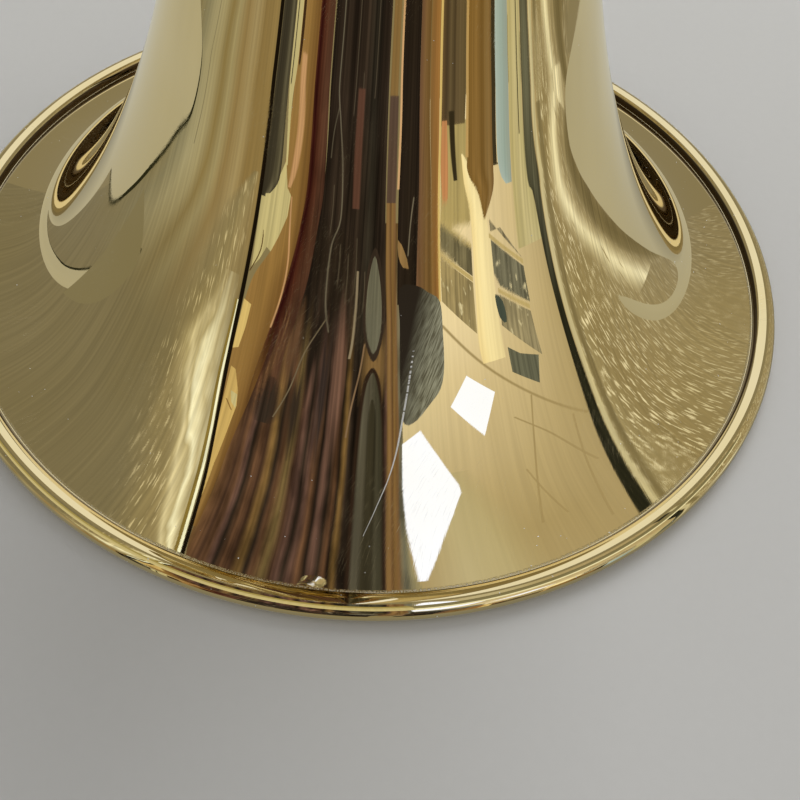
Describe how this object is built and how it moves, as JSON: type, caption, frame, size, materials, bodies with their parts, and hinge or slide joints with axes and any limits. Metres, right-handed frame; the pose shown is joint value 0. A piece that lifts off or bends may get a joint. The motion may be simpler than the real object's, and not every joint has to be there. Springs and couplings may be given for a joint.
{
  "type": "trumpet",
  "caption": "Piston-valve trumpet standing on its bell, with pull-out slides, spring-return valves, water keys and a removable mouthpiece.",
  "frame": {"origin": "centre of the bell's rim, on the plane that the rim rests on", "axes": "+Z along the bell's axis towards the mouthpiece, +Y downward in playing position, -Y where the valve buttons are, +X the player's left"},
  "size_m": [0.1457, 0.1855, 0.5514],
  "materials": {
    "lacquered_brass": "polished, clear lacquered",
    "nickel_silver": "polished nickel silver",
    "silver_plate": "silver plated",
    "felt": "pressed felt",
    "cork": "cork",
    "pearl": "pearl inlay"
  },
  "bodies": {
    "root": {"bell": "lacquered_brass", "bell_rim_wire": "lacquered_brass", "bell_bow": "lacquered_brass", "bell_bow_ferrules": "lacquered_brass", "bell_lower_leg": "lacquered_brass", "valve_crossovers": "lacquered_brass", "top_caps": "lacquered_brass", "bottom_caps": "lacquered_brass", "valve_guides": "nickel_silver", "valve_spring_1": "nickel_silver", "valve_spring_2": "nickel_silver", "valve_spring_3": "nickel_silver", "third_slide_sleeves": "lacquered_brass", "first_slide_sleeves": "lacquered_brass", "second_slide_sleeves": "lacquered_brass", "leadpipe": "lacquered_brass", "mouthpiece_receiver": "nickel_silver", "front_bell_stay": "lacquered_brass", "rear_bell_stay": "lacquered_brass", "pinky_hook": "lacquered_brass", "tuning_upper_sleeve": "lacquered_brass", "tuning_lower_sleeve": "lacquered_brass", "valve_casing_1": "lacquered_brass", "valve_casing_2": "lacquered_brass", "valve_casing_3": "lacquered_brass"},
    "tuning_slide": {"tuning_slide_legs": "nickel_silver", "tuning_slide_ferrules": "lacquered_brass", "tuning_slide_crook": "lacquered_brass", "tuning_slide_brace": "lacquered_brass"},
    "tuning_water_key": {"tuning_water_key_lever": "lacquered_brass", "tuning_water_key_cork": "cork"},
    "first_slide": {"first_slide_legs": "nickel_silver", "first_slide_ferrules": "lacquered_brass", "first_slide_crook": "lacquered_brass", "first_slide_thumb_saddle": "lacquered_brass"},
    "second_slide": {"second_slide_legs": "nickel_silver", "second_slide_ferrules": "lacquered_brass", "second_slide_crook": "lacquered_brass"},
    "third_slide": {"third_slide_legs": "nickel_silver", "third_slide_ferrules": "lacquered_brass", "third_slide_crook": "lacquered_brass", "third_slide_finger_ring": "lacquered_brass"},
    "third_water_key": {"third_water_key_lever": "lacquered_brass", "third_water_key_cork": "cork"},
    "mouthpiece": {"mouthpiece": "silver_plate"},
    "valve_1": {"piston_1": "nickel_silver", "valve_stem_1": "lacquered_brass", "finger_button_1": "lacquered_brass", "button_pearl_1": "pearl", "stem_felts_1": "felt"},
    "valve_2": {"piston_2": "nickel_silver", "valve_stem_2": "lacquered_brass", "finger_button_2": "lacquered_brass", "button_pearl_2": "pearl", "stem_felts_2": "felt"},
    "valve_3": {"piston_3": "nickel_silver", "valve_stem_3": "lacquered_brass", "finger_button_3": "lacquered_brass", "button_pearl_3": "pearl", "stem_felts_3": "felt"}
  },
  "joints": [
    {"name": "valve_1_stroke", "type": "slide", "parent": "root", "child": "valve_1", "axis": [0, 1, 0], "range_m": [0, 0.0164], "stiffness_N_per_m": 60, "springref_m": -0.012, "deforming": ["valve_spring_1"]},
    {"name": "valve_2_stroke", "type": "slide", "parent": "root", "child": "valve_2", "axis": [0, 1, 0], "range_m": [0, 0.0164], "stiffness_N_per_m": 60, "springref_m": -0.012, "deforming": ["valve_spring_2"]},
    {"name": "valve_3_stroke", "type": "slide", "parent": "root", "child": "valve_3", "axis": [0, 1, 0], "range_m": [0, 0.0164], "stiffness_N_per_m": 60, "springref_m": -0.012, "deforming": ["valve_spring_3"]},
    {"name": "tuning_slide_pull", "type": "slide", "parent": "root", "child": "tuning_slide", "axis": [0, 0, -1], "range_m": [0, 0.04]},
    {"name": "first_slide_pull", "type": "slide", "parent": "root", "child": "first_slide", "axis": [0, 0, 1], "range_m": [0, 0.022]},
    {"name": "second_slide_pull", "type": "slide", "parent": "root", "child": "second_slide", "axis": [-1, 0, 0], "range_m": [0, 0.012]},
    {"name": "third_slide_pull", "type": "slide", "parent": "root", "child": "third_slide", "axis": [0, 0, -1], "range_m": [0, 0.028]},
    {"name": "mouthpiece_pull", "type": "slide", "parent": "root", "child": "mouthpiece", "axis": [0, 0, 1], "range_m": [0, 0.03]},
    {"name": "tuning_water_key_press", "type": "hinge", "parent": "tuning_slide", "child": "tuning_water_key", "pos_m": [-0.01854, 0.10216, 0.156], "axis": [0.982, -0.1889, 0], "range_deg": [0, 8], "stiffness_Nm_per_rad": 0.05, "springref_deg": -20.05},
    {"name": "third_water_key_press", "type": "hinge", "parent": "third_slide", "child": "third_water_key", "pos_m": [-0.0014, 0.08235, 0.128], "axis": [1, 0, 0], "range_deg": [0, 10], "stiffness_Nm_per_rad": 0.04, "springref_deg": -20.05}
  ]
}
